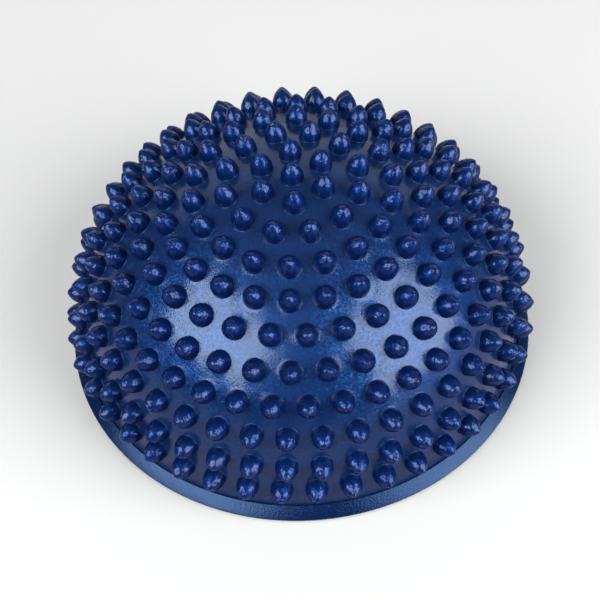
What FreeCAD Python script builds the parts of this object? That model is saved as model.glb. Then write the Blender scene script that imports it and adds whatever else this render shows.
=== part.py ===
import FreeCAD
import Part
import Sketcher
import math
import os

from FreeCAD import Placement, Rotation, Vector

# An air-filled balance dome trainer that stands on a flat floor.
# Millimetres, +Z up, origin on the floor under the centre of the round base, front towards -Y.
#   dome_shell   soft PVC skin with a bevelled rim, and its massage spikes moulded in one with it
#   base_panel   non-slip disc welded under the rim, which closes the air chamber
#   valve_seat   flanged tube welded into the disc, reaching up into the chamber
#   valve_plug   stopper that pulls straight down out of the valve seat

# Driving dimensions: alias, value, meaning
DIMENSIONS = [
    ("rim_radius", 82.0, "outer radius of the rim"),
    ("rim_underside", 1.6, "height of the rim's underside above the floor"),
    ("rim_edge_top", 2.2, "height of the top of the rim's thin outer edge"),
    ("rim_crest_radius", 78.2, "radius of the crest of the rim, where its bevel ends"),
    ("rim_crest", 5.1, "height of the crest of the rim"),
    ("rim_crease", 4.5, "height of the bottom of the narrow crease between the crest and the skin"),
    ("dome_half_width", 75.85, "radius that the side arc of the skin would reach at its widest"),
    ("dome_mid_height", 10.5, "height of the centre of the side arc"),
    ("dome_side_radius", 56.0, "radius of the side of the skin, in a vertical section"),
    ("dome_cap_radius", 85.4, "spherical radius of the top of the skin"),
    ("dome_foot_radius", 400.0, "radius of the nearly straight foot of the skin, in a vertical section"),
    ("foot_tilt", 78.0, "angle between the skin and the horizontal where its foot begins, in degrees"),
    ("wall", 3.0, "thickness of the skin"),
    ("spike_radius", 3.7, "largest radius of a spike"),
    ("spike_belly", 0.6, "height above the skin at which a spike is widest"),
    ("spike_flank_radius", 6.2, "radius of a spike's bulging side, in a section through its axis"),
    ("spike_tip_radius", 1.3, "rounding of a spike's tip"),
    ("spike_root", 1.2, "depth to which a spike's root runs into the skin"),
    ("panel_radius", 80.9, "outer radius of the base panel"),
    ("panel_chamfer", 0.6, "chamfer around the panel's lower edge"),
    ("spigot_radius", 74.9, "radius of the panel's thicker middle, inside the skin's foot"),
    ("panel_top", 2.8, "height of the upper face of the panel's middle"),
    ("well_radius", 13.0, "radius of the shallow well around the valve"),
    ("well_depth", 1.6, "depth of the well"),
    ("rib_pitch", 5.0, "radial step between the non-slip ribs"),
    ("rib_first", 20.0, "radius of the innermost groove between ribs"),
    ("groove_width", 1.8, "width of a groove between ribs"),
    ("groove_depth", 0.5, "depth of a groove between ribs"),
    ("groove_count", 11, "number of grooves"),
    ("seat_flange_radius", 10.0, "radius of the valve seat's flange"),
    ("seat_flange", 1.2, "thickness of the valve seat's flange"),
    ("seat_radius", 4.6, "outer radius of the valve seat's tube"),
    ("seat_bore", 2.6, "bore radius of the valve seat"),
    ("seat_top", 16.0, "height of the top of the valve seat"),
    ("plug_clearance", 0.05, "radial clearance of the plug's stem in the bore"),
    ("plug_head_radius", 7.0, "radius of the plug's head"),
    ("plug_head_base", 0.5, "height of the plug's lower face above the floor"),
    ("plug_head_top", 1.5, "height of the upper face of the plug's head"),
    ("plug_tab_reach", 10.5, "distance of the pull tab's outer end from the axis"),
    ("plug_tab_half", 2.5, "half of the pull tab's width"),
    ("plug_stem_top", 14.5, "height of the top of the plug's stem"),
    ("plug_taper", 1.0, "lead-in chamfer at the top of the stem"),
]

# Rings of spikes from the top down: tilt of the spikes from vertical, number of spikes, and
# azimuth of the first one from the front, in degrees towards the right
SPIKE_RINGS = [
    (7.25, 6, 4.8),
    (14.4, 12, 16.3),
    (21.5, 18, -0.5),
    (28.4, 24, 0.0),
    (35.4, 28, 6.0),
    (42.9, 33, 0.3),
    (53.7, 38, 4.7),
    (64.4, 41, -1.0),
    (76.3, 43, -1.3),
    (79.25, 44, -2.7),
]

RINGS_ON_CAP = 5
RINGS_DOWN_TO_FOOT = 9


def make_sheet(doc):
    sheet = doc.addObject("Spreadsheet::Sheet", "dims")
    rows = list(DIMENSIONS)
    for number, (tilt, count, azimuth) in enumerate(SPIKE_RINGS, start=1):
        rows.append((f"ring_tilt_{number:02d}", tilt, "tilt of this ring's spikes from vertical"))
        rows.append((f"ring_count_{number:02d}", count, "spikes in this ring"))
        rows.append((f"ring_azimuth_{number:02d}", azimuth, "azimuth of this ring's first spike"))
    for row, (alias, value, meaning) in enumerate(rows, start=1):
        sheet.set(f"A{row}", meaning)
        sheet.set(f"B{row}", str(value))
        sheet.setAlias(f"B{row}", alias)
    doc.recompute()
    return sheet


def origin_feature(body, role):
    return next(item for item in body.Origin.OriginFeatures if item.Role == role)


def new_body(doc, label):
    body = doc.addObject("PartDesign::Body", label)
    body.Label = label
    return body


def new_sketch(body, name, support):
    sketch = body.newObject("Sketcher::SketchObject", name)
    sketch.AttachmentSupport = [(support, "")]
    sketch.MapMode = "FlatFace"
    return sketch


def bind(sketch, kind, *place_and_value, to):
    """Add a dimension to the sketch and bind it to an expression."""
    index = sketch.addConstraint(Sketcher.Constraint(kind, *place_and_value))
    sketch.setExpression(f"Constraints[{index}]", to)


def join(sketch, first, first_end, second, second_end, kind="Coincident"):
    sketch.addConstraint(Sketcher.Constraint(kind, first, first_end, second, second_end))


def closed_outline(sketch, corners):
    """Draw a closed outline of straight lines; each corner is a value and an expression for x and y."""
    points = [Vector(x, y, 0) for (x, _), (y, _) in corners]
    total = len(points)
    lines = []
    for start, end in zip(points, points[1:] + points[:1]):
        lines.append(sketch.addGeometry(Part.LineSegment(start, end), False))
    for position, line in enumerate(lines):
        join(sketch, line, 2, lines[(position + 1) % total], 1)
    for line, ((x, x_text), (y, y_text)) in zip(lines, corners):
        place_point(sketch, line, 1, x, x_text, y, y_text)
    return lines


def place_point(sketch, line, end, x, x_text, y, y_text):
    """Fix one end of a line; a text of None puts that coordinate on the axis."""
    for kind, value, text in (("DistanceX", x, x_text), ("DistanceY", y, y_text)):
        if text is not None:
            bind(sketch, kind, -1, 1, line, end, value, to=text)
        elif kind == "DistanceX":
            sketch.addConstraint(Sketcher.Constraint("PointOnObject", line, end, -2))
        else:
            sketch.addConstraint(Sketcher.Constraint("PointOnObject", line, end, -1))


def revolve(body, sketch, name):
    feature = body.newObject("PartDesign::Revolution", name)
    feature.Profile = sketch
    feature.ReferenceAxis = (sketch, ["V_Axis"])
    feature.Angle = 360
    return feature


def cap_centre_height(sheet):
    """Height of the centre of the skin's top, tangent to the side arc, and the same as an expression."""
    reach = sheet.dome_cap_radius - sheet.dome_side_radius
    offset = sheet.dome_half_width - sheet.dome_side_radius
    height = sheet.dome_mid_height - math.sqrt(reach ** 2 - offset ** 2)
    text = (
        "dims.dome_mid_height - sqrt((dims.dome_cap_radius - dims.dome_side_radius)^2"
        " - (dims.dome_half_width - dims.dome_side_radius)^2)"
    )
    return height, text


def skin_section(sketch, sheet):
    """Half section of the skin and rim: three tangent arcs outside, three inside, and a bevelled rim."""
    side_x = sheet.dome_half_width - sheet.dome_side_radius
    mid = sheet.dome_mid_height
    cap_z, _ = cap_centre_height(sheet)
    cap_end = math.atan2(mid - cap_z, side_x)
    foot_start = math.radians(90 - sheet.foot_tilt)
    foot_x = side_x - (sheet.dome_foot_radius - sheet.dome_side_radius) * math.cos(foot_start)
    foot_z = mid - (sheet.dome_foot_radius - sheet.dome_side_radius) * math.sin(foot_start)

    def arc(x, y, radius, start, end):
        circle = Part.Circle(Vector(x, y, 0), Vector(0, 0, 1), radius)
        return sketch.addGeometry(Part.ArcOfCircle(circle, start, end), False)

    def line(x1, y1, x2, y2):
        return sketch.addGeometry(Part.LineSegment(Vector(x1, y1, 0), Vector(x2, y2, 0)), False)

    def face(depth, less, end, end_text):
        """One face of the skin, from its lower end up to the axis, some depth under the outer face."""
        foot_radius = sheet.dome_foot_radius - depth
        side_radius = sheet.dome_side_radius - depth
        end_angle = math.asin((end - foot_z) / foot_radius)
        foot = arc(foot_x, foot_z, foot_radius, end_angle, foot_start)
        side = arc(side_x, mid, side_radius, foot_start, cap_end)
        cap = arc(0, cap_z, sheet.dome_cap_radius - depth, cap_end, math.pi / 2)
        bind(sketch, "DistanceX", -1, 1, side, 3, side_x, to="dims.dome_half_width - dims.dome_side_radius")
        bind(sketch, "DistanceY", -1, 1, side, 3, mid, to="dims.dome_mid_height")
        bind(sketch, "Radius", foot, foot_radius, to="dims.dome_foot_radius" + less)
        bind(sketch, "Radius", side, side_radius, to="dims.dome_side_radius" + less)
        bind(sketch, "Radius", cap, sheet.dome_cap_radius - depth, to="dims.dome_cap_radius" + less)
        join(sketch, foot, 2, side, 1, "Tangent")
        join(sketch, side, 2, cap, 1, "Tangent")
        sketch.addConstraint(Sketcher.Constraint("PointOnObject", cap, 3, -2))
        sketch.addConstraint(Sketcher.Constraint("PointOnObject", cap, 2, -2))
        foot_top = mid + side_radius * math.sin(foot_start)
        foot_top_text = f"dims.dome_mid_height + (dims.dome_side_radius{less}) * cos(dims.foot_tilt)"
        bind(sketch, "DistanceY", -1, 1, side, 1, foot_top, to=foot_top_text)
        bind(sketch, "DistanceY", -1, 1, foot, 1, end, to=end_text)
        return foot, foot_x + foot_radius * math.cos(end_angle), cap

    out_foot, crease_x, out_cap = face(0, "", sheet.rim_crease, "dims.rim_crease")
    in_foot, in_foot_x, in_cap = face(sheet.wall, " - dims.wall", sheet.rim_underside, "dims.rim_underside")
    apex = cap_z + sheet.dome_cap_radius
    top = line(0, apex, 0, apex - sheet.wall)
    under = line(in_foot_x, sheet.rim_underside, sheet.rim_radius, sheet.rim_underside)
    edge = line(sheet.rim_radius, sheet.rim_underside, sheet.rim_radius, sheet.rim_edge_top)
    bevel = line(sheet.rim_radius, sheet.rim_edge_top, sheet.rim_crest_radius, sheet.rim_crest)
    crease = line(sheet.rim_crest_radius, sheet.rim_crest, crease_x, sheet.rim_crease)
    join(sketch, out_cap, 2, top, 1)
    join(sketch, top, 2, in_cap, 2)
    join(sketch, in_foot, 1, under, 1)
    join(sketch, under, 2, edge, 1)
    join(sketch, edge, 2, bevel, 1)
    join(sketch, bevel, 2, crease, 1)
    join(sketch, crease, 2, out_foot, 1)
    sketch.addConstraint(Sketcher.Constraint("Horizontal", under))
    sketch.addConstraint(Sketcher.Constraint("Vertical", edge))
    bind(sketch, "DistanceX", -1, 1, edge, 1, sheet.rim_radius, to="dims.rim_radius")
    bind(sketch, "DistanceY", -1, 1, edge, 2, sheet.rim_edge_top, to="dims.rim_edge_top")
    bind(sketch, "DistanceX", -1, 1, bevel, 2, sheet.rim_crest_radius, to="dims.rim_crest_radius")
    bind(sketch, "DistanceY", -1, 1, bevel, 2, sheet.rim_crest, to="dims.rim_crest")


def spike_section(sketch, sheet):
    """Half section of a spike: its axis is the sketch's y axis and the skin is at y = 0."""
    root = sheet.spike_root
    flank = sheet.spike_flank_radius
    tip = sheet.spike_tip_radius
    belly = sheet.spike_belly
    flank_x = sheet.spike_radius - flank
    # The flank touches the tip from outside, so their centres are the difference of the radii apart
    tip_y = belly + math.sqrt((flank - tip) ** 2 - flank_x ** 2)
    foot_x = flank_x + math.sqrt(flank ** 2 - belly ** 2)
    foot_angle = math.atan2(-belly, foot_x - flank_x)
    tip_angle = math.atan2(tip_y - belly, -flank_x)

    def arc(x, y, radius, start, end):
        circle = Part.Circle(Vector(x, y, 0), Vector(0, 0, 1), radius)
        return sketch.addGeometry(Part.ArcOfCircle(circle, start, end), False)

    def line(x1, y1, x2, y2):
        return sketch.addGeometry(Part.LineSegment(Vector(x1, y1, 0), Vector(x2, y2, 0)), False)

    side = arc(flank_x, belly, flank, foot_angle, tip_angle)
    point = arc(0, tip_y, tip, tip_angle, math.pi / 2)
    axis = line(0, tip_y + tip, 0, -root)
    bottom = line(0, -root, foot_x, -root)
    neck = line(foot_x, -root, foot_x, 0)
    join(sketch, side, 2, point, 1, "Tangent")
    join(sketch, point, 2, axis, 1)
    join(sketch, axis, 2, bottom, 1)
    join(sketch, bottom, 2, neck, 1)
    join(sketch, neck, 2, side, 1)
    sketch.addConstraint(Sketcher.Constraint("PointOnObject", point, 3, -2))
    sketch.addConstraint(Sketcher.Constraint("PointOnObject", point, 2, -2))
    sketch.addConstraint(Sketcher.Constraint("PointOnObject", axis, 2, -2))
    sketch.addConstraint(Sketcher.Constraint("Horizontal", bottom))
    sketch.addConstraint(Sketcher.Constraint("Vertical", neck))
    sketch.addConstraint(Sketcher.Constraint("PointOnObject", side, 1, -1))
    bind(sketch, "DistanceX", side, 3, -1, 1, -flank_x, to="dims.spike_flank_radius - dims.spike_radius")
    bind(sketch, "DistanceY", -1, 1, side, 3, belly, to="dims.spike_belly")
    bind(sketch, "Radius", side, flank, to="dims.spike_flank_radius")
    bind(sketch, "Radius", point, tip, to="dims.spike_tip_radius")
    bind(sketch, "DistanceY", bottom, 1, -1, 1, root, to="dims.spike_root")


def spike_frame(sketch, number, sheet):
    """Stand a spike's sketch on the skin, square to it, at the ring's tilt."""
    tilt = f"dims.ring_tilt_{number:02d}"
    _, cap_text = cap_centre_height(sheet)
    if number <= RINGS_ON_CAP:
        out = f"dims.dome_cap_radius * sin({tilt})"
        up = f"{cap_text} + dims.dome_cap_radius * cos({tilt})"
    elif number <= RINGS_DOWN_TO_FOOT:
        out = f"dims.dome_half_width - dims.dome_side_radius * (1 - sin({tilt}))"
        up = f"dims.dome_mid_height + dims.dome_side_radius * cos({tilt})"
    else:
        out = (
            "dims.dome_half_width - dims.dome_side_radius * (1 - sin(dims.foot_tilt))"
            f" + dims.dome_foot_radius * (sin({tilt}) - sin(dims.foot_tilt))"
        )
        up = (
            "dims.dome_mid_height + dims.dome_side_radius * cos(dims.foot_tilt)"
            f" + dims.dome_foot_radius * (cos({tilt}) - cos(dims.foot_tilt))"
        )
    sketch.AttachmentOffset = Placement(Vector(0, 0, 0), Rotation(Vector(0, 0, 1), -1))
    sketch.setExpression("AttachmentOffset.Base.x", out)
    sketch.setExpression("AttachmentOffset.Base.y", up)
    sketch.setExpression("AttachmentOffset.Rotation.Angle", f"-{tilt}")


def make_dome_shell(doc, sheet):
    body = new_body(doc, "dome_shell")
    section_plane = origin_feature(body, "XZ_Plane")
    skin = new_sketch(body, "skin_section", section_plane)
    skin_section(skin, sheet)
    revolve(body, skin, "skin")

    apex = new_sketch(body, "apex_spike_section", section_plane)
    spike_section(apex, sheet)
    apex.AttachmentOffset = Placement(Vector(0, 1, 0), Rotation())
    apex.setExpression("AttachmentOffset.Base.y", cap_centre_height(sheet)[1] + " + dims.dome_cap_radius")
    revolve(body, apex, "apex_spike")

    for number in range(1, len(SPIKE_RINGS) + 1):
        meridian = body.newObject("PartDesign::Plane", f"meridian_{number:02d}")
        meridian.AttachmentSupport = [(section_plane, "")]
        meridian.MapMode = "FlatFace"
        meridian.AttachmentOffset = Placement(Vector(0, 0, 0), Rotation(Vector(0, 1, 0), -90))
        meridian.setExpression("AttachmentOffset.Rotation.Angle", f"dims.ring_azimuth_{number:02d} - 90")
        section = new_sketch(body, f"spike_section_{number:02d}", meridian)
        spike_section(section, sheet)
        spike_frame(section, number, sheet)
        spike = revolve(body, section, f"spike_{number:02d}")
        ring = body.newObject("PartDesign::PolarPattern", f"spike_ring_{number:02d}")
        ring.Originals = [spike]
        ring.Axis = (origin_feature(body, "Z_Axis"), [""])
        ring.Angle = 360
        ring.setExpression("Occurrences", f"dims.ring_count_{number:02d}")
        body.Tip = ring
    return body


def make_base_panel(doc, sheet):
    body = new_body(doc, "base_panel")
    plane = origin_feature(body, "XZ_Plane")
    outline = new_sketch(body, "panel_section", plane)
    bore = (sheet.seat_radius, "dims.seat_radius")
    well = (sheet.well_radius, "dims.well_radius")
    well_roof = (sheet.well_depth, "dims.well_depth")
    chamfer_x = (sheet.panel_radius - sheet.panel_chamfer, "dims.panel_radius - dims.panel_chamfer")
    outer = (sheet.panel_radius, "dims.panel_radius")
    shoulder = (sheet.rim_underside, "dims.rim_underside")
    spigot = (sheet.spigot_radius, "dims.spigot_radius")
    roof = (sheet.panel_top, "dims.panel_top")
    floor = (0, None)
    closed_outline(outline, [
        (bore, well_roof),
        (well, well_roof),
        (well, floor),
        (chamfer_x, floor),
        (outer, (sheet.panel_chamfer, "dims.panel_chamfer")),
        (outer, shoulder),
        (spigot, shoulder),
        (spigot, roof),
        (bore, roof),
    ])
    revolve(body, outline, "panel")
    doc.recompute()
    before = body.Shape.Volume

    grooves = new_sketch(body, "groove_sections", plane)
    for position in range(int(sheet.groove_count)):
        middle = f"dims.rib_first + {position} * dims.rib_pitch"
        inner_x = sheet.rib_first + position * sheet.rib_pitch - sheet.groove_width / 2
        inner = (inner_x, f"{middle} - dims.groove_width / 2")
        outer_x = (inner_x + sheet.groove_width, f"{middle} + dims.groove_width / 2")
        deep = (sheet.groove_depth, "dims.groove_depth")
        closed_outline(grooves, [(inner, floor), (outer_x, floor), (outer_x, deep), (inner, deep)])
    cut = body.newObject("PartDesign::Groove", "grooves")
    cut.Profile = grooves
    cut.ReferenceAxis = (grooves, ["V_Axis"])
    cut.Angle = 360
    doc.recompute()
    if body.Shape.Volume >= before:
        raise RuntimeError("the grooves removed nothing from the base panel")
    return body


def make_valve_seat(doc, sheet):
    body = new_body(doc, "valve_seat")
    outline = new_sketch(body, "seat_section", origin_feature(body, "XZ_Plane"))
    bore = (sheet.seat_bore, "dims.seat_bore")
    tube = (sheet.seat_radius, "dims.seat_radius")
    flange = (sheet.seat_flange_radius, "dims.seat_flange_radius")
    mouth = (sheet.well_depth, "dims.well_depth")
    flange_base = (sheet.panel_top, "dims.panel_top")
    flange_top = (sheet.panel_top + sheet.seat_flange, "dims.panel_top + dims.seat_flange")
    top = (sheet.seat_top, "dims.seat_top")
    closed_outline(outline, [
        (bore, mouth),
        (tube, mouth),
        (tube, flange_base),
        (flange, flange_base),
        (flange, flange_top),
        (tube, flange_top),
        (tube, top),
        (bore, top),
    ])
    revolve(body, outline, "seat")
    return body


def make_valve_plug(doc, sheet):
    body = new_body(doc, "valve_plug")
    outline = new_sketch(body, "plug_section", origin_feature(body, "XZ_Plane"))
    axis = (0, None)
    head_base = (sheet.plug_head_base, "dims.plug_head_base")
    head_top = (sheet.plug_head_top, "dims.plug_head_top")
    head = (sheet.plug_head_radius, "dims.plug_head_radius")
    stem_text = "dims.seat_bore - dims.plug_clearance"
    stem_x = sheet.seat_bore - sheet.plug_clearance
    stem = (stem_x, stem_text)
    closed_outline(outline, [
        (axis, head_base),
        (head, head_base),
        (head, head_top),
        (stem, head_top),
        (stem, (sheet.plug_stem_top - sheet.plug_taper, "dims.plug_stem_top - dims.plug_taper")),
        ((stem_x - sheet.plug_taper, stem_text + " - dims.plug_taper"),
         (sheet.plug_stem_top, "dims.plug_stem_top")),
        (axis, (sheet.plug_stem_top, "dims.plug_stem_top")),
    ])
    revolve(body, outline, "plug")

    tab = new_sketch(body, "tab_outline", origin_feature(body, "XY_Plane"))
    tab.AttachmentOffset = Placement(Vector(0, 0, 1), Rotation())
    tab.setExpression("AttachmentOffset.Base.z", "dims.plug_head_base")
    half = (sheet.plug_tab_half, "dims.plug_tab_half")
    reach = (sheet.plug_tab_reach, "dims.plug_tab_reach")
    near = (sheet.plug_head_radius / 2, "dims.plug_head_radius / 2")
    low = (-sheet.plug_tab_half, "-dims.plug_tab_half")
    closed_outline(tab, [(near, low), (reach, low), (reach, half), (near, half)])
    pad = body.newObject("PartDesign::Pad", "tab")
    pad.Profile = tab
    pad.setExpression("Length", "dims.plug_head_top - dims.plug_head_base")
    return body


def check(doc, bodies):
    for item in doc.Objects:
        if "Invalid" in item.State or "Error" in item.State:
            raise RuntimeError(f"{item.Label} did not build: {item.State}")
    for body in bodies:
        shape = body.Shape
        if shape.isNull() or not shape.isValid() or len(shape.Solids) != 1:
            raise RuntimeError(f"{body.Label} is not one valid solid")


def main():
    doc = FreeCAD.newDocument("balance_dome")
    sheet = make_sheet(doc)
    bodies = [
        make_dome_shell(doc, sheet),
        make_base_panel(doc, sheet),
        make_valve_seat(doc, sheet),
        make_valve_plug(doc, sheet),
    ]
    doc.recompute()
    check(doc, bodies)
    os.makedirs("parts", exist_ok=True)
    for body in bodies:
        body.Shape.exportStep(f"parts/{body.Label}.step")
        box = body.Shape.BoundBox
        print(body.Label, round(body.Shape.Volume), "mm3, z", round(box.ZMin, 2), "to", round(box.ZMax, 2))


main()
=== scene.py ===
import math

import bpy
import numpy as np
from mathutils import Matrix, Vector, geometry


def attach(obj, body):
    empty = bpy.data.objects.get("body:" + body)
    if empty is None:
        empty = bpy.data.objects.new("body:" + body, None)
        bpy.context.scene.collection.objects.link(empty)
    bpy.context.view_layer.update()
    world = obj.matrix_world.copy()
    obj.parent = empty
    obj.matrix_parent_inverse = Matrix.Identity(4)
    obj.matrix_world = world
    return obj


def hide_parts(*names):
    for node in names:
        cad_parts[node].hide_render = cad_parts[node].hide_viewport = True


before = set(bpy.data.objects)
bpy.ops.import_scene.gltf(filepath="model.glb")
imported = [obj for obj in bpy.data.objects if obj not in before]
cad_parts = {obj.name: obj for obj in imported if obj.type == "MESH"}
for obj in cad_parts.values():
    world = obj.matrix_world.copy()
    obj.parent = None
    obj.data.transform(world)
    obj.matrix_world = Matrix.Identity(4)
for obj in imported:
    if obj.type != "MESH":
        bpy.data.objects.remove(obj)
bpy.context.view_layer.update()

MM = 0.001

# Skin: three tangent arcs in the vertical section, as in the CAD
DOME_HALF_WIDTH = 75.85 * MM
DOME_MID_HEIGHT = 10.5 * MM
SIDE_RADIUS = 56.0 * MM
CAP_RADIUS = 85.4 * MM
FOOT_RADIUS = 400.0 * MM
FOOT_TILT = math.radians(78.0)
WALL = 3.0 * MM
SIDE_X = DOME_HALF_WIDTH - SIDE_RADIUS
CAP_Z = DOME_MID_HEIGHT - math.sqrt((CAP_RADIUS - SIDE_RADIUS) ** 2 - SIDE_X ** 2)
JOIN_TILT = math.atan2(SIDE_X, DOME_MID_HEIGHT - CAP_Z)
FOOT_X = SIDE_X - (FOOT_RADIUS - SIDE_RADIUS) * math.sin(FOOT_TILT)
FOOT_Z = DOME_MID_HEIGHT - (FOOT_RADIUS - SIDE_RADIUS) * math.cos(FOOT_TILT)

# Middle (radius, height) and radius of each arc, from the top down
SKIN_ARCS = [
    (0.0, CAP_Z, CAP_RADIUS),
    (SIDE_X, DOME_MID_HEIGHT, SIDE_RADIUS),
    (FOOT_X, FOOT_Z, FOOT_RADIUS),
]

# Rim
RIM_RADIUS = 82.0 * MM
RIM_UNDERSIDE = 1.6 * MM
RIM_EDGE_TOP = 2.2 * MM
RIM_CREST_RADIUS = 78.2 * MM
RIM_CREST = 5.1 * MM
RIM_CREASE = 4.5 * MM
RIM_CREST_ROUNDING = 0.15 * MM
RIM_EDGE_ROUNDING = 0.35 * MM
RIM_UNDERSIDE_ROUNDING = 0.25 * MM
SPIKED_SKIN_END = 7.4 * MM
RIM_SEGMENTS = 360

# A ring of points just above the crease keeps the shading of the skin even down to it
CREASE_SUPPORT = 0.2 * MM

# Base panel, valve seat and plug
PANEL_RADIUS = 80.9 * MM
PANEL_CHAMFER = 0.6 * MM
SPIGOT_RADIUS = 74.9 * MM
PANEL_TOP = 2.8 * MM
WELL_RADIUS = 13.0 * MM
WELL_DEPTH = 1.6 * MM
WELL_ROUNDING = 0.4 * MM
GROOVE_PITCH = 5.0 * MM
GROOVE_FIRST = 20.0 * MM
GROOVE_WIDTH = 1.8 * MM
GROOVE_DEPTH = 0.5 * MM
GROOVE_ROUNDING = 0.2 * MM
GROOVE_COUNT = 11
PANEL_SEGMENTS = 240
SEAT_FLANGE_RADIUS = 10.0 * MM
SEAT_FLANGE = 1.2 * MM
SEAT_RADIUS = 4.6 * MM
SEAT_BORE = 2.6 * MM
SEAT_TOP = 16.0 * MM
SEAT_SEGMENTS = 72
PLUG_HEAD_RADIUS = 7.0 * MM
PLUG_HEAD_BASE = 0.5 * MM
PLUG_HEAD_TOP = 1.5 * MM
PLUG_TAB_REACH = 10.5 * MM
PLUG_TAB_HALF = 2.5 * MM
PLUG_TAB_ROUNDING = 1.4 * MM
PLUG_STEM_RADIUS = 2.55 * MM
PLUG_STEM_TOP = 14.5 * MM
PLUG_TAPER = 1.0 * MM
PLUG_HEAD_SEGMENTS = 72
PLUG_TAB_SEGMENTS = 18

# Spikes: tilt from vertical, number and first azimuth of each ring, in degrees
SPIKE_RINGS = [
    (0.0, 1, 0.0),
    (7.25, 6, 4.8),
    (14.4, 12, 16.3),
    (21.5, 18, -0.5),
    (28.4, 24, 0.0),
    (35.4, 28, 6.0),
    (42.9, 33, 0.3),
    (53.7, 38, 4.7),
    (64.4, 41, -1.0),
    (76.3, 43, -1.3),
    (79.25, 44, -2.7),
]
SPIKE_RADIUS = 3.7 * MM
SPIKE_BELLY = 0.6 * MM
SPIKE_FLANK = 6.2 * MM
SPIKE_TIP = 1.3 * MM
SPIKE_FLANK_X = SPIKE_RADIUS - SPIKE_FLANK
SPIKE_TIP_UP = SPIKE_BELLY + math.sqrt((SPIKE_FLANK - SPIKE_TIP) ** 2 - SPIKE_FLANK_X ** 2)
SPIKE_HEIGHT = SPIKE_TIP_UP + SPIKE_TIP
SPIKE_FILLET = 0.1 * MM
SPIKE_SEGMENTS = 24

# Mesh of the skin between the spikes: step between points, and room left beside spikes and edge
SKIN_STEP = 1.7 * MM
SKIN_ROW_STEP = SKIN_STEP * 0.87
SKIN_END_GAP = SKIN_STEP * 0.7
SKIN_GAP = 0.75 * MM

# Flat map of the skin, in which its triangles are made
MAP_FIRST_TILT = 0.001
MAP_END_TILT = math.radians(82)
MAP_STEPS = 8000
MAP_SCALE = 100
MAP_TOLERANCE = 1e-7

# Rings of points on the inside of the skin, up to a small tilt at its top
INSIDE_RINGS = 24
INSIDE_LAST_TILT = 0.05

# Materials of the dome's skin, by their place in its list
OUTER_SKIN = 0
RIM_AND_INSIDE = 1


class Builder:
    """Collects the points and faces of one mesh, and each point's height up a spike, from 0 to 1."""

    def __init__(self):
        self.points = []
        self.faces = []
        self.details = []
        self.materials = []

    def add(self, points, detail=0.0):
        start = len(self.points)
        self.points.extend(tuple(map(float, p)) for p in points)
        self.details.extend([detail] * len(points))
        return list(range(start, start + len(points)))

    def face(self, corners, material=0):
        self.faces.append(tuple(corners))
        self.materials.append(material)

    def bridge(self, lower, upper, material=0):
        """Quads between two rings of the same length."""
        count = len(lower)
        for i in range(count):
            j = (i + 1) % count
            self.face((lower[i], lower[j], upper[j], upper[i]), material)

    def fan(self, ring, centre, material=0):
        """Triangles from a ring to one point."""
        count = len(ring)
        for i in range(count):
            self.face((ring[i], ring[(i + 1) % count], centre), material)

    def make(self, name, materials):
        """Puts the collected mesh in the scene as one smooth-shaded piece."""
        mesh = bpy.data.meshes.new(name)
        mesh.from_pydata(self.points, [], self.faces)
        for material in materials:
            mesh.materials.append(material)
        mesh.polygons.foreach_set("material_index", self.materials)
        mesh.polygons.foreach_set("use_smooth", [True] * len(self.faces))
        attribute = mesh.attributes.new("detail", "FLOAT", "POINT")
        attribute.data.foreach_set("value", self.details)
        mesh.validate()
        mesh.update()
        piece = bpy.data.objects.new(name, mesh)
        bpy.context.scene.collection.objects.link(piece)
        return piece


def rounded(corners, steps):
    """Outline (radius, height) from corners (radius, height, rounding): each corner becomes an arc."""
    outline = []
    for i in range(len(corners)):
        here = Vector(corners[i][:2])
        rounding = corners[i][2]
        if rounding == 0:
            outline.append(tuple(here))
            continue
        before = (Vector(corners[i - 1][:2]) - here).normalized()
        after = (Vector(corners[(i + 1) % len(corners)][:2]) - here).normalized()
        half = before.angle(after) / 2
        centre = here + (before + after).normalized() * (rounding / math.sin(half))
        first = here + before * (rounding / math.tan(half)) - centre
        last = here + after * (rounding / math.tan(half)) - centre
        turn = first.angle_signed(last)
        for step in range(steps + 1):
            outline.append(tuple(centre + Matrix.Rotation(-turn * step / steps, 2) @ first))
    return outline


def around(radius, height, count):
    """A ring of points about the Z axis; azimuths run from the front towards +X."""
    angles = [2 * math.pi * i / count for i in range(count)]
    return [(radius * math.sin(a), -radius * math.cos(a), height) for a in angles]


def by_arc(tilt, cap, side, foot):
    """Pick a value for each tilt: that of the skin's cap, of its side or of its foot."""
    return np.where(tilt <= JOIN_TILT, cap, np.where(tilt <= FOOT_TILT, side, foot))


def skin_at(tilt, azimuth, depth=0.0):
    """Points of the skin for arrays of tilt and azimuth, in radians, some way under its outer face."""
    radius = by_arc(tilt, CAP_RADIUS, SIDE_RADIUS, FOOT_RADIUS) - depth
    out = by_arc(tilt, 0.0, SIDE_X, FOOT_X) + radius * np.sin(tilt)
    up = by_arc(tilt, CAP_Z, DOME_MID_HEIGHT, FOOT_Z) + radius * np.cos(tilt)
    return np.stack([out * np.sin(azimuth), -out * np.cos(azimuth), up], axis=-1)


def foot_at(height, depth=0.0):
    """Radius of the foot of the skin at a height, some way under its outer face."""
    return FOOT_X + math.sqrt((FOOT_RADIUS - depth) ** 2 - (height - FOOT_Z) ** 2)


def skin_distance(points):
    """Height of points above the skin, and the skin's tilt below them."""
    out = np.hypot(points[..., 0], points[..., 1])
    up = points[..., 2]
    heights = []
    tilts = []
    for x, z, radius in SKIN_ARCS:
        heights.append(np.hypot(out - x, up - z) - radius)
        tilts.append(np.arctan2(out - x, up - z))
    cap = tilts[0] <= JOIN_TILT
    side = tilts[1] <= FOOT_TILT
    height = np.where(cap, heights[0], np.where(side, heights[1], heights[2]))
    return height, np.where(cap, tilts[0], np.where(side, tilts[1], tilts[2]))


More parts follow.
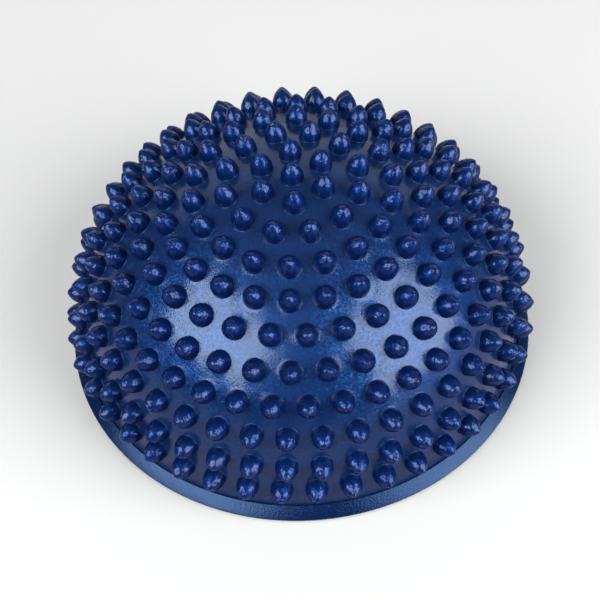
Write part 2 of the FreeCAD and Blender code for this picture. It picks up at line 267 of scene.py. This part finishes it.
def flattened(tilt, azimuth):
    """A flat map of the skin that keeps angles, so that triangles made in it are well shaped."""
    tilts = np.linspace(MAP_FIRST_TILT, MAP_END_TILT, MAP_STEPS)
    radii = skin_at(tilts, np.full(len(tilts), math.pi / 2))[:, 0]
    speed = by_arc(tilts, CAP_RADIUS, SIDE_RADIUS, FOOT_RADIUS) / radii
    growth = np.concatenate([[0], np.cumsum((speed[1:] + speed[:-1]) / 2 * np.diff(tilts))])
    reach = np.interp(tilt, tilts, tilts[0] * np.exp(growth))
    reach = np.where(tilt < tilts[0], tilt, reach)
    return np.stack([reach * np.sin(azimuth), -reach * np.cos(azimuth)], axis=-1)


def spike_places():
    """Tilt and azimuth of every spike, in radians."""
    tilts = []
    azimuths = []
    for tilt, count, first in SPIKE_RINGS:
        for i in range(count):
            tilts.append(math.radians(tilt))
            azimuths.append(math.radians(first) + 2 * math.pi * i / count)
    return np.array(tilts), np.array(azimuths)


def arc(x, up, radius, angles):
    """Points (radius, height) of an arc about a middle."""
    return [(x + radius * math.cos(t), up + radius * math.sin(t)) for t in angles]


def spike_outline():
    """Radius and height above the skin from the foot of a spike to just under its tip."""
    fillet_drop = SPIKE_FILLET - SPIKE_BELLY
    fillet_x = SPIKE_FLANK_X + math.sqrt((SPIKE_FLANK + SPIKE_FILLET) ** 2 - fillet_drop ** 2)
    foot_angle = math.atan2(fillet_drop, fillet_x - SPIKE_FLANK_X)
    tip_angle = math.atan2(SPIKE_TIP_UP - SPIKE_BELLY, -SPIKE_FLANK_X)
    fillet = np.linspace(-math.pi / 2, -math.pi + foot_angle, 5)
    flank = np.linspace(foot_angle, tip_angle, 10)[1:]
    tip = np.linspace(tip_angle, math.pi / 2, 4)[1:-1]
    outline = arc(fillet_x, SPIKE_FILLET, SPIKE_FILLET, fillet)
    outline += arc(SPIKE_FLANK_X, SPIKE_BELLY, SPIKE_FLANK, flank)
    outline += arc(0.0, SPIKE_TIP_UP, SPIKE_TIP, tip)
    return outline


def spike_rings():
    """Points of the spikes, as an array of spike, ring, point around and coordinate, and their tips."""
    tilts, azimuths = spike_places()
    centres = skin_at(tilts, azimuths)
    sin_a = np.sin(azimuths)
    cos_a = np.cos(azimuths)
    normal = np.stack([np.sin(tilts) * sin_a, -np.sin(tilts) * cos_a, np.cos(tilts)], axis=-1)
    down = np.stack([np.cos(tilts) * sin_a, -np.cos(tilts) * cos_a, -np.sin(tilts)], axis=-1)
    side = np.stack([cos_a, sin_a, np.zeros_like(sin_a)], axis=-1)
    outline = np.array(spike_outline())
    turns = np.arange(SPIKE_SEGMENTS) * 2 * math.pi / SPIKE_SEGMENTS
    flat = down[:, None, :] * np.cos(turns)[None, :, None]
    flat = flat + side[:, None, :] * np.sin(turns)[None, :, None]
    points = centres[:, None, None, :] + outline[None, :, 0, None, None] * flat[:, None, :, :]
    axis = normal[:, None, None, :]
    # Each point is let down along the spike's axis onto the skin, closer with every pass
    for _ in range(4):
        height, _tilt = skin_distance(points)
        points = points - height[..., None] * axis
    points = points + outline[None, :, 1, None, None] * axis
    tips = centres + normal * SPIKE_HEIGHT
    return points, tips


def skin_fill(centres, clearance):
    """Staggered points all over the skin, clear of the spikes, as tilt and azimuth."""
    tilts = []
    azimuths = []
    end_tilt = math.acos((SPIKED_SKIN_END - FOOT_Z) / FOOT_RADIUS)
    tilt = 0.0
    row = 0
    while True:
        tilt += SKIN_ROW_STEP / by_arc(tilt, CAP_RADIUS, SIDE_RADIUS, FOOT_RADIUS)
        if tilt > end_tilt - SKIN_END_GAP / FOOT_RADIUS:
            break
        out = np.hypot(*skin_at(np.array(tilt), np.array(0.0))[:2])
        count = max(6, round(2 * math.pi * out / SKIN_STEP))
        turns = (np.arange(count) + 0.5 * (row % 2)) * 2 * math.pi / count
        tilts.extend([tilt] * count)
        azimuths.extend(turns)
        row += 1
    tilts = np.array(tilts)
    azimuths = np.array(azimuths)
    points = skin_at(tilts, azimuths)
    nearest = np.full(len(points), np.inf)
    for centre in centres:
        nearest = np.minimum(nearest, np.linalg.norm(points - centre, axis=1))
    keep = nearest > clearance
    return tilts[keep], azimuths[keep], end_tilt


def add_open_skin(builder, foot, foot_detail):
    """The skin between the spikes' feet. Returns the points of its outer edge and of each foot."""
    spikes, segments, _ = foot.shape
    _height, foot_tilt = skin_distance(foot)
    foot_azimuth = np.arctan2(foot[..., 0], -foot[..., 1])
    clearance = spike_outline()[0][0] + SKIN_GAP
    fill_tilt, fill_azimuth, end_tilt = skin_fill(skin_at(*spike_places()), clearance)
    edge_azimuth = 2 * math.pi * np.arange(RIM_SEGMENTS) / RIM_SEGMENTS
    edge_tilt = np.full(RIM_SEGMENTS, end_tilt)
    all_tilt = np.concatenate([edge_tilt, foot_tilt.ravel(), fill_tilt])
    all_azimuth = np.concatenate([edge_azimuth, foot_azimuth.ravel(), fill_azimuth])
    flat_points = [Vector(p) for p in flattened(all_tilt, all_azimuth) * MAP_SCALE]
    edges = [(i, (i + 1) % RIM_SEGMENTS) for i in range(RIM_SEGMENTS)]
    for spike in range(spikes):
        start = RIM_SEGMENTS + spike * segments
        edges.extend((start + i, start + (i + 1) % segments) for i in range(segments))
    triangulated = geometry.delaunay_2d_cdt(flat_points, edges, [], 0, MAP_TOLERANCE)
    _points, _edges, triangles, sources = triangulated[:4]
    source = [s[0] for s in sources]

    edge = builder.add(skin_at(edge_tilt, edge_azimuth))
    feet = [builder.add(ring, foot_detail) for ring in foot]
    builder.add(skin_at(fill_tilt, fill_azimuth))
    foot_points = range(RIM_SEGMENTS, RIM_SEGMENTS + spikes * segments)
    for triangle in triangles:
        corners = [source[i] for i in triangle]
        under_one_spike = (all(c in foot_points for c in corners)
                           and len({(c - RIM_SEGMENTS) // segments for c in corners}) == 1)
        if not under_one_spike:
            builder.face(corners)
    return edge, feet


def add_spikes(builder, points, tips, feet, details):
    """The spikes, each ring by ring from its foot on the skin up to its tip."""
    for spike, tip in enumerate(tips):
        lower = feet[spike]
        for level in range(1, len(details)):
            upper = builder.add(points[spike, level], details[level])
            builder.bridge(lower, upper)
            lower = upper
        builder.fan(lower, builder.add([tip], 1.0)[0])


def add_rim_and_inside(builder, edge):
    """The foot of the skin and the rim, from the edge of the spiked skin down, then the inside, up."""
    crease_x = foot_at(RIM_CREASE)
    above_crease = RIM_CREASE + CREASE_SUPPORT
    corners = [
        (foot_at(SPIKED_SKIN_END), SPIKED_SKIN_END, 0),
        (foot_at(above_crease), above_crease, 0),
        (crease_x, RIM_CREASE, 0),
        (RIM_CREST_RADIUS, RIM_CREST, RIM_CREST_ROUNDING),
        (RIM_RADIUS, RIM_EDGE_TOP, RIM_EDGE_ROUNDING),
        (RIM_RADIUS, RIM_UNDERSIDE, RIM_UNDERSIDE_ROUNDING),
        (foot_at(RIM_UNDERSIDE, WALL), RIM_UNDERSIDE, 0),
    ]
    lower = edge
    for radius, height in rounded(corners, 6)[1:]:
        upper = builder.add(around(radius, height, RIM_SEGMENTS))
        builder.bridge(upper, lower, OUTER_SKIN if radius <= crease_x else RIM_AND_INSIDE)
        lower = upper
    first_tilt = math.acos((RIM_UNDERSIDE - FOOT_Z) / (FOOT_RADIUS - WALL))
    for tilt in np.linspace(first_tilt, INSIDE_LAST_TILT, INSIDE_RINGS)[1:]:
        x, _y, z = skin_at(np.array(tilt), np.array(math.pi / 2), WALL)
        upper = builder.add(around(x, z, RIM_SEGMENTS))
        builder.bridge(upper, lower, RIM_AND_INSIDE)
        lower = upper
    top = builder.add([(0, 0, CAP_Z + CAP_RADIUS - WALL)])[0]
    builder.fan(lower[::-1], top, RIM_AND_INSIDE)


def make_dome_skin(materials):
    """The whole dome: skin, spikes, rim and inside, in one mesh."""
    builder = Builder()
    points, tips = spike_rings()
    details = np.array(spike_outline())[:, 1] / SPIKE_HEIGHT
    edge, feet = add_open_skin(builder, points[:, 0], details[0])
    add_spikes(builder, points, tips, feet, details)
    add_rim_and_inside(builder, edge)
    return builder.make("dome_skin", materials)


def revolve(builder, corners, segments):
    """Revolve a closed outline of corners (radius, height, rounding), given anticlockwise."""
    rings = [builder.add(around(radius, height, segments)) for radius, height in rounded(corners, 4)]
    for lower, upper in zip(rings, rings[1:] + rings[:1]):
        builder.bridge(lower, upper)


def make_base_disc(material):
    """The base panel: the valve's well, the grooves, the chamfered edge and the top."""
    corners = [
        (SEAT_RADIUS, WELL_DEPTH, 0),
        (WELL_RADIUS, WELL_DEPTH, WELL_ROUNDING),
        (WELL_RADIUS, 0, WELL_ROUNDING),
    ]
    for groove in range(GROOVE_COUNT):
        middle = GROOVE_FIRST + groove * GROOVE_PITCH
        inner = middle - GROOVE_WIDTH / 2
        outer = middle + GROOVE_WIDTH / 2
        for radius, height in [(inner, 0), (inner, GROOVE_DEPTH), (outer, GROOVE_DEPTH), (outer, 0)]:
            corners.append((radius, height, GROOVE_ROUNDING))
    corners.extend([
        (PANEL_RADIUS - PANEL_CHAMFER, 0, 0.3 * MM),
        (PANEL_RADIUS, PANEL_CHAMFER, 0.3 * MM),
        (PANEL_RADIUS, RIM_UNDERSIDE, 0),
        (SPIGOT_RADIUS, RIM_UNDERSIDE, 0),
        (SPIGOT_RADIUS, PANEL_TOP, 0.3 * MM),
        (SEAT_RADIUS, PANEL_TOP, 0),
    ])
    builder = Builder()
    revolve(builder, corners, PANEL_SEGMENTS)
    return builder.make("base_disc", [material])


def make_seat_tube(material):
    """The valve's seat: a tube with a flange that lies on the base panel, inside the chamber."""
    flange_top = PANEL_TOP + SEAT_FLANGE
    builder = Builder()
    revolve(builder, [
        (SEAT_BORE, WELL_DEPTH, 0.25 * MM),
        (SEAT_RADIUS, WELL_DEPTH, 0),
        (SEAT_RADIUS, PANEL_TOP, 0),
        (SEAT_FLANGE_RADIUS, PANEL_TOP, 0),
        (SEAT_FLANGE_RADIUS, flange_top, 0.3 * MM),
        (SEAT_RADIUS, flange_top, 0.4 * MM),
        (SEAT_RADIUS, SEAT_TOP, 0.3 * MM),
        (SEAT_BORE, SEAT_TOP, 0.3 * MM),
    ], SEAT_SEGMENTS)
    return builder.make("seat_tube", [material])


def plug_head_outline():
    """Points anticlockwise around the plug's head and its pull tab, which points to +X."""
    meet = math.asin(PLUG_TAB_HALF / PLUG_HEAD_RADIUS) + 0.1
    outline = [(PLUG_HEAD_RADIUS * math.cos(t), PLUG_HEAD_RADIUS * math.sin(t))
               for t in np.linspace(meet, 2 * math.pi - meet, PLUG_HEAD_SEGMENTS)]
    side_start = PLUG_HEAD_RADIUS + 0.3 * MM
    corner_x = PLUG_TAB_REACH - PLUG_TAB_ROUNDING
    corner_y = PLUG_TAB_HALF - PLUG_TAB_ROUNDING
    outline.append((side_start, -PLUG_TAB_HALF))
    for t in np.linspace(-math.pi / 2, math.pi / 2, PLUG_TAB_SEGMENTS):
        x = corner_x + PLUG_TAB_ROUNDING * math.cos(t)
        y = (corner_y if t > 0 else -corner_y) + PLUG_TAB_ROUNDING * math.sin(t)
        outline.append((x, y))
    outline.append((side_start, PLUG_TAB_HALF))
    return np.array(outline)


def make_stopper(material):
    """The valve's plug: a slightly dished head with its pull tab, and the stem."""
    builder = Builder()
    outline = plug_head_outline()
    along = np.roll(outline, -1, axis=0) - np.roll(outline, 1, axis=0)
    inward = np.stack([-along[:, 1], along[:, 0]], axis=1) / np.linalg.norm(along, axis=1)[:, None]
    turns = np.arctan2(outline[:, 1], outline[:, 0])
    dish = PLUG_HEAD_BASE + 0.15 * MM
    # How far each ring of the head lies inside its outline, and its height
    levels = [
        (1.35 * MM, dish),
        (1.15 * MM, PLUG_HEAD_BASE + 0.03 * MM),
        (1.0 * MM, PLUG_HEAD_BASE),
        (0.25 * MM, PLUG_HEAD_BASE),
        (0.07 * MM, PLUG_HEAD_BASE + 0.08 * MM),
        (0.0, PLUG_HEAD_BASE + 0.25 * MM),
        (0.0, PLUG_HEAD_TOP - 0.25 * MM),
        (0.07 * MM, PLUG_HEAD_TOP - 0.08 * MM),
        (0.25 * MM, PLUG_HEAD_TOP),
    ]
    rings = []
    for inset, height in levels:
        flat = outline + inward * inset
        rings.append(builder.add([(x, y, height) for x, y in flat]))
    # Radius and height of each ring of the stem
    stem = [
        (PLUG_STEM_RADIUS + 0.2 * MM, PLUG_HEAD_TOP),
        (PLUG_STEM_RADIUS, PLUG_HEAD_TOP + 0.2 * MM),
        (PLUG_STEM_RADIUS, PLUG_STEM_TOP - PLUG_TAPER),
        (PLUG_STEM_RADIUS - PLUG_TAPER * 0.9, PLUG_STEM_TOP - 0.1 * MM),
        (PLUG_STEM_RADIUS - PLUG_TAPER * 1.2, PLUG_STEM_TOP),
    ]
    for radius, height in stem:
        rings.append(builder.add([(radius * math.cos(t), radius * math.sin(t), height) for t in turns]))
    for lower, upper in zip(rings, rings[1:]):
        builder.bridge(lower, upper)
    builder.fan(rings[0][::-1], builder.add([(0, 0, dish)])[0])
    builder.fan(rings[-1], builder.add([(0, 0, PLUG_STEM_TOP)])[0])
    return builder.make("stopper", [material])


# ---------------------------------------------------------------- materials

FLAKES_PER_METRE = 2000
FLAKE_LEAN = 0.18
FLAKE_DARK_BLUE = (0.0052, 0.0090, 0.056, 1)
FLAKE_LIGHT_BLUE = (0.0036, 0.0240, 0.098, 1)
# Painted shade: the spikes' base colour is multiplied by this, which darkens it and makes it bluer
SPIKE_PAINTED_SHADE = (0.38, 0.58, 0.84, 1)
SPIKE_GLOSS = 0.8
RIM_BLUE = (0.0012, 0.0068, 0.040)
BASE_BLUE = (0.003, 0.012, 0.055)
VALVE_BLUE = (0.0035, 0.014, 0.065)
PLUG_BLUE = (0.0035, 0.016, 0.08)


def new_material(name):
    material = bpy.data.materials.new(name)
    material.use_nodes = True
    nodes = material.node_tree.nodes
    return material, nodes, material.node_tree.links, nodes["Principled BSDF"]


def new_node(nodes, kind, **settings):
    """A shader node with some of its sockets set; an underscore in a name stands for a space."""
    node = nodes.new(kind)
    for name, value in settings.items():
        node.inputs[name.replace("_", " ")].default_value = value
    return node


def set_ramp(ramp, stops):
    """Positions and colours of a colour ramp's two stops."""
    for element, (position, colour) in zip(ramp.color_ramp.elements, stops):
        element.position = position
        element.color = colour


def add_flakes(nodes, links, shader, place):
    """Flakes of mica, each with its own blue, its own shine and its own lean. Returns the blue."""
    flakes = new_node(nodes, "ShaderNodeTexVoronoi", Scale=FLAKES_PER_METRE)
    links.new(place.outputs["Object"], flakes.inputs["Vector"])
    split = nodes.new("ShaderNodeSeparateColor")
    links.new(flakes.outputs["Color"], split.inputs["Color"])
    blue = nodes.new("ShaderNodeValToRGB")
    set_ramp(blue, [(0.0, FLAKE_DARK_BLUE), (1.0, FLAKE_LIGHT_BLUE)])
    links.new(split.outputs["Red"], blue.inputs["Fac"])
    shine = new_node(nodes, "ShaderNodeMapRange", To_Min=0.4, To_Max=0.75)
    links.new(split.outputs["Red"], shine.inputs["Value"])
    links.new(shine.outputs["Result"], shader.inputs["Metallic"])

    # The lean is a short vector, added to the surface's normal
    lean = nodes.new("ShaderNodeVectorMath")
    lean.operation = "SUBTRACT"
    lean.inputs[1].default_value = (0.5, 0.5, 0.5)
    links.new(flakes.outputs["Color"], lean.inputs[0])
    scale = nodes.new("ShaderNodeVectorMath")
    scale.operation = "SCALE"
    scale.inputs["Scale"].default_value = FLAKE_LEAN
    links.new(lean.outputs[0], scale.inputs[0])
    facing = nodes.new("ShaderNodeNewGeometry")
    tilted = nodes.new("ShaderNodeVectorMath")
    links.new(facing.outputs["Normal"], tilted.inputs[0])
    links.new(scale.outputs[0], tilted.inputs[1])
    unit = nodes.new("ShaderNodeVectorMath")
    unit.operation = "NORMALIZE"
    links.new(tilted.outputs[0], unit.inputs[0])
    links.new(unit.outputs[0], shader.inputs["Normal"])
    return blue


def add_clear_coat(nodes, links, shader, place, detail):
    """A slightly uneven clear coat, with lumps from the mould on the spikes, largest at the tips."""
    grain = new_node(nodes, "ShaderNodeTexNoise", Scale=2000, Detail=1)
    links.new(place.outputs["Object"], grain.inputs["Vector"])
    grain_bump = new_node(nodes, "ShaderNodeBump", Strength=1.0, Distance=0.05 * MM)
    links.new(grain.outputs["Fac"], grain_bump.inputs["Height"])
    lumps = new_node(nodes, "ShaderNodeTexNoise", Scale=650, Detail=1)
    links.new(place.outputs["Object"], lumps.inputs["Vector"])
    height = nodes.new("ShaderNodeMath")
    height.operation = "MULTIPLY"
    links.new(lumps.outputs["Fac"], height.inputs[0])
    links.new(detail.outputs["Fac"], height.inputs[1])
    lump_bump = new_node(nodes, "ShaderNodeBump", Strength=1.0, Distance=0.7 * MM)
    links.new(height.outputs[0], lump_bump.inputs["Height"])
    links.new(grain_bump.outputs["Normal"], lump_bump.inputs["Normal"])
    links.new(lump_bump.outputs["Normal"], shader.inputs["Coat Normal"])


def paint_shade_on_spikes(nodes, links, shader, detail, blue):
    """Paints shade on the spikes by darkening their base colour and making it bluer than the skin
    between them, and makes their clear coat less glossy.
    """
    on_spike = new_node(nodes, "ShaderNodeMapRange", From_Min=0.02, From_Max=0.15)
    links.new(detail.outputs["Fac"], on_spike.inputs["Value"])
    # Painted shade: the base colour is multiplied by a darker blue from the foot of each spike up
    painted_spike_shade = nodes.new("ShaderNodeMix")
    painted_spike_shade.data_type = "RGBA"
    painted_spike_shade.blend_type = "MULTIPLY"
    painted_spike_shade.inputs["B"].default_value = SPIKE_PAINTED_SHADE
    links.new(on_spike.outputs["Result"], painted_spike_shade.inputs["Factor"])
    links.new(blue.outputs["Color"], painted_spike_shade.inputs["A"])
    links.new(painted_spike_shade.outputs["Result"], shader.inputs["Base Color"])
    gloss = new_node(nodes, "ShaderNodeMapRange", To_Min=1.0, To_Max=SPIKE_GLOSS)
    links.new(on_spike.outputs["Result"], gloss.inputs["Value"])
    links.new(gloss.outputs["Result"], shader.inputs["Coat Weight"])


def pearl_pvc():
    """Navy PVC with small mica flakes in it, under a clear and slightly uneven surface."""
    material, nodes, links, shader = new_material("pearl_pvc")
    place = nodes.new("ShaderNodeTexCoord")
    detail = nodes.new("ShaderNodeAttribute")
    detail.attribute_name = "detail"
    blue = add_flakes(nodes, links, shader, place)
    add_clear_coat(nodes, links, shader, place, detail)
    paint_shade_on_spikes(nodes, links, shader, detail, blue)
    shader.inputs["Roughness"].default_value = 0.4
    shader.inputs["Specular IOR Level"].default_value = 0.0
    shader.inputs["Specular Tint"].default_value = (0.03, 0.15, 0.5, 1)
    shader.inputs["Coat Roughness"].default_value = 0.1
    shader.inputs["Coat IOR"].default_value = 1.25
    return material


def satin_pvc(name, colour, roughness, bumpiness=0.05):
    """PVC with a fine grain in its colour and surface; bumpiness is the grain's depth in mm."""
    material, nodes, links, shader = new_material(name)
    place = nodes.new("ShaderNodeTexCoord")
    grain = new_node(nodes, "ShaderNodeTexNoise", Scale=1800, Detail=3)
    links.new(place.outputs["Object"], grain.inputs["Vector"])
    shade = nodes.new("ShaderNodeValToRGB")
    darker = tuple(c * 0.75 for c in colour) + (1,)
    lighter = tuple(c * 1.25 for c in colour) + (1,)
    set_ramp(shade, [(0.3, darker), (0.7, lighter)])
    links.new(grain.outputs["Fac"], shade.inputs["Fac"])
    links.new(shade.outputs["Color"], shader.inputs["Base Color"])
    bump = new_node(nodes, "ShaderNodeBump", Strength=1.0, Distance=bumpiness * MM)
    links.new(grain.outputs["Fac"], bump.inputs["Height"])
    links.new(bump.outputs["Normal"], shader.inputs["Normal"])
    shader.inputs["Metallic"].default_value = 0.35
    shader.inputs["Roughness"].default_value = roughness
    shader.inputs["Specular IOR Level"].default_value = 0.19
    shader.inputs["Specular Tint"].default_value = (0.6, 0.8, 1.0, 1)
    return material


# ---------------------------------------------------------------- stage

CAMERA_HEADING = math.radians(4.128)
CAMERA_ELEVATION = math.radians(53.43)
CAMERA_ROLL = math.radians(-3.471)
CAMERA_DISTANCE = 410 * MM
CAMERA_AIM = Vector((0, 0, 2 * MM))
CAMERA_LENS = 67.59
CAMERA_SENSOR = 36
CAMERA_SHIFT_X = -0.0008
CAMERA_SHIFT_Y = 0.0252

# Softboxes: azimuth and elevation in degrees, then distance, width and height in metres, and radiance
SOFTBOXES = {
    "softbox_left": (-55, 41, 1.3, 1.2, 0.8, 16.5),
    "softbox_right": (60, 30, 1.3, 1.12, 1.2, 14.5),
    "ceiling": (0, 90, 2.0, 3.0, 3.0, 0.3),
    "backdrop": (180, 24, 1.6, 3.4, 1.3, 1.6),
}
SOFTBOX_AIM = Vector((0, 0, 30 * MM))
SOFTBOX_COLOUR = (0.89, 0.99, 0.84)
ROOM_COLOUR = (0.06, 0.065, 0.08, 1)
FLOOR_COLOUR = (0.303, 0.273, 0.320, 1)
FLOOR_SIZE = 8


def direction(azimuth, elevation):
    """Unit vector at an azimuth to the right of the camera's side, and an elevation, in degrees."""
    turn = math.radians(azimuth) + CAMERA_HEADING
    up = math.radians(elevation)
    return Vector((math.cos(up) * math.sin(turn), -math.cos(up) * math.cos(turn), math.sin(up)))


def make_camera():
    """The camera looks down at a point just above the middle of the underside, a little rolled."""
    away = direction(0, math.degrees(CAMERA_ELEVATION))
    right = Vector((0, 0, 1)).cross(away).normalized()
    up = away.cross(right)
    turned_right = right * math.cos(CAMERA_ROLL) + up * math.sin(CAMERA_ROLL)
    turned_up = up * math.cos(CAMERA_ROLL) - right * math.sin(CAMERA_ROLL)
    data = bpy.data.cameras.new("camera")
    data.lens = CAMERA_LENS
    data.sensor_width = CAMERA_SENSOR
    data.shift_x = CAMERA_SHIFT_X
    data.shift_y = CAMERA_SHIFT_Y
    camera = bpy.data.objects.new("camera", data)
    rotation = Matrix((turned_right, turned_up, away)).transposed().to_4x4()
    camera.matrix_world = Matrix.Translation(CAMERA_AIM + away * CAMERA_DISTANCE) @ rotation
    bpy.context.scene.collection.objects.link(camera)
    bpy.context.scene.camera = camera


def softbox(name, azimuth, elevation, distance, width, height, radiance):
    """A rectangular light that faces a point in the middle of the object."""
    away = direction(azimuth, elevation)
    data = bpy.data.lights.new(name, "AREA")
    data.shape = "RECTANGLE"
    data.size = width
    data.size_y = height
    data.energy = radiance * width * height * math.pi
    data.color = SOFTBOX_COLOUR
    light = bpy.data.objects.new(name, data)
    light.rotation_euler = away.to_track_quat("Z", "Y").to_euler()
    light.location = away * distance + SOFTBOX_AIM
    bpy.context.scene.collection.objects.link(light)


def make_stage():
    """A pale floor, the softboxes and the dim room around them."""
    bpy.ops.mesh.primitive_plane_add(size=FLOOR_SIZE)
    floor = bpy.context.object
    floor.name = "floor"
    material, _nodes, _links, shader = new_material("pale_floor")
    shader.inputs["Base Color"].default_value = FLOOR_COLOUR
    shader.inputs["Roughness"].default_value = 0.9
    floor.data.materials.append(material)
    for name, numbers in SOFTBOXES.items():
        softbox(name, *numbers)
    world = bpy.data.worlds.new("studio")
    world.use_nodes = True
    world.node_tree.nodes["Background"].inputs["Color"].default_value = ROOM_COLOUR
    bpy.context.scene.world = world
    bpy.context.scene.view_settings.view_transform = "Standard"


make_camera()
make_stage()
skin = make_dome_skin([pearl_pvc(), satin_pvc("rim_pvc", RIM_BLUE, 0.2, 0.1)])
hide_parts("dome_shell")
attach(skin, "pod")
disc = make_base_disc(satin_pvc("base_pvc", BASE_BLUE, 0.5))
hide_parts("base_panel")
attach(disc, "pod")
tube = make_seat_tube(satin_pvc("valve_pvc", VALVE_BLUE, 0.4))
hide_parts("valve_seat")
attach(tube, "pod")
stopper = make_stopper(satin_pvc("plug_pvc", PLUG_BLUE, 0.35))
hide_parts("valve_plug")
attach(stopper, "plug")
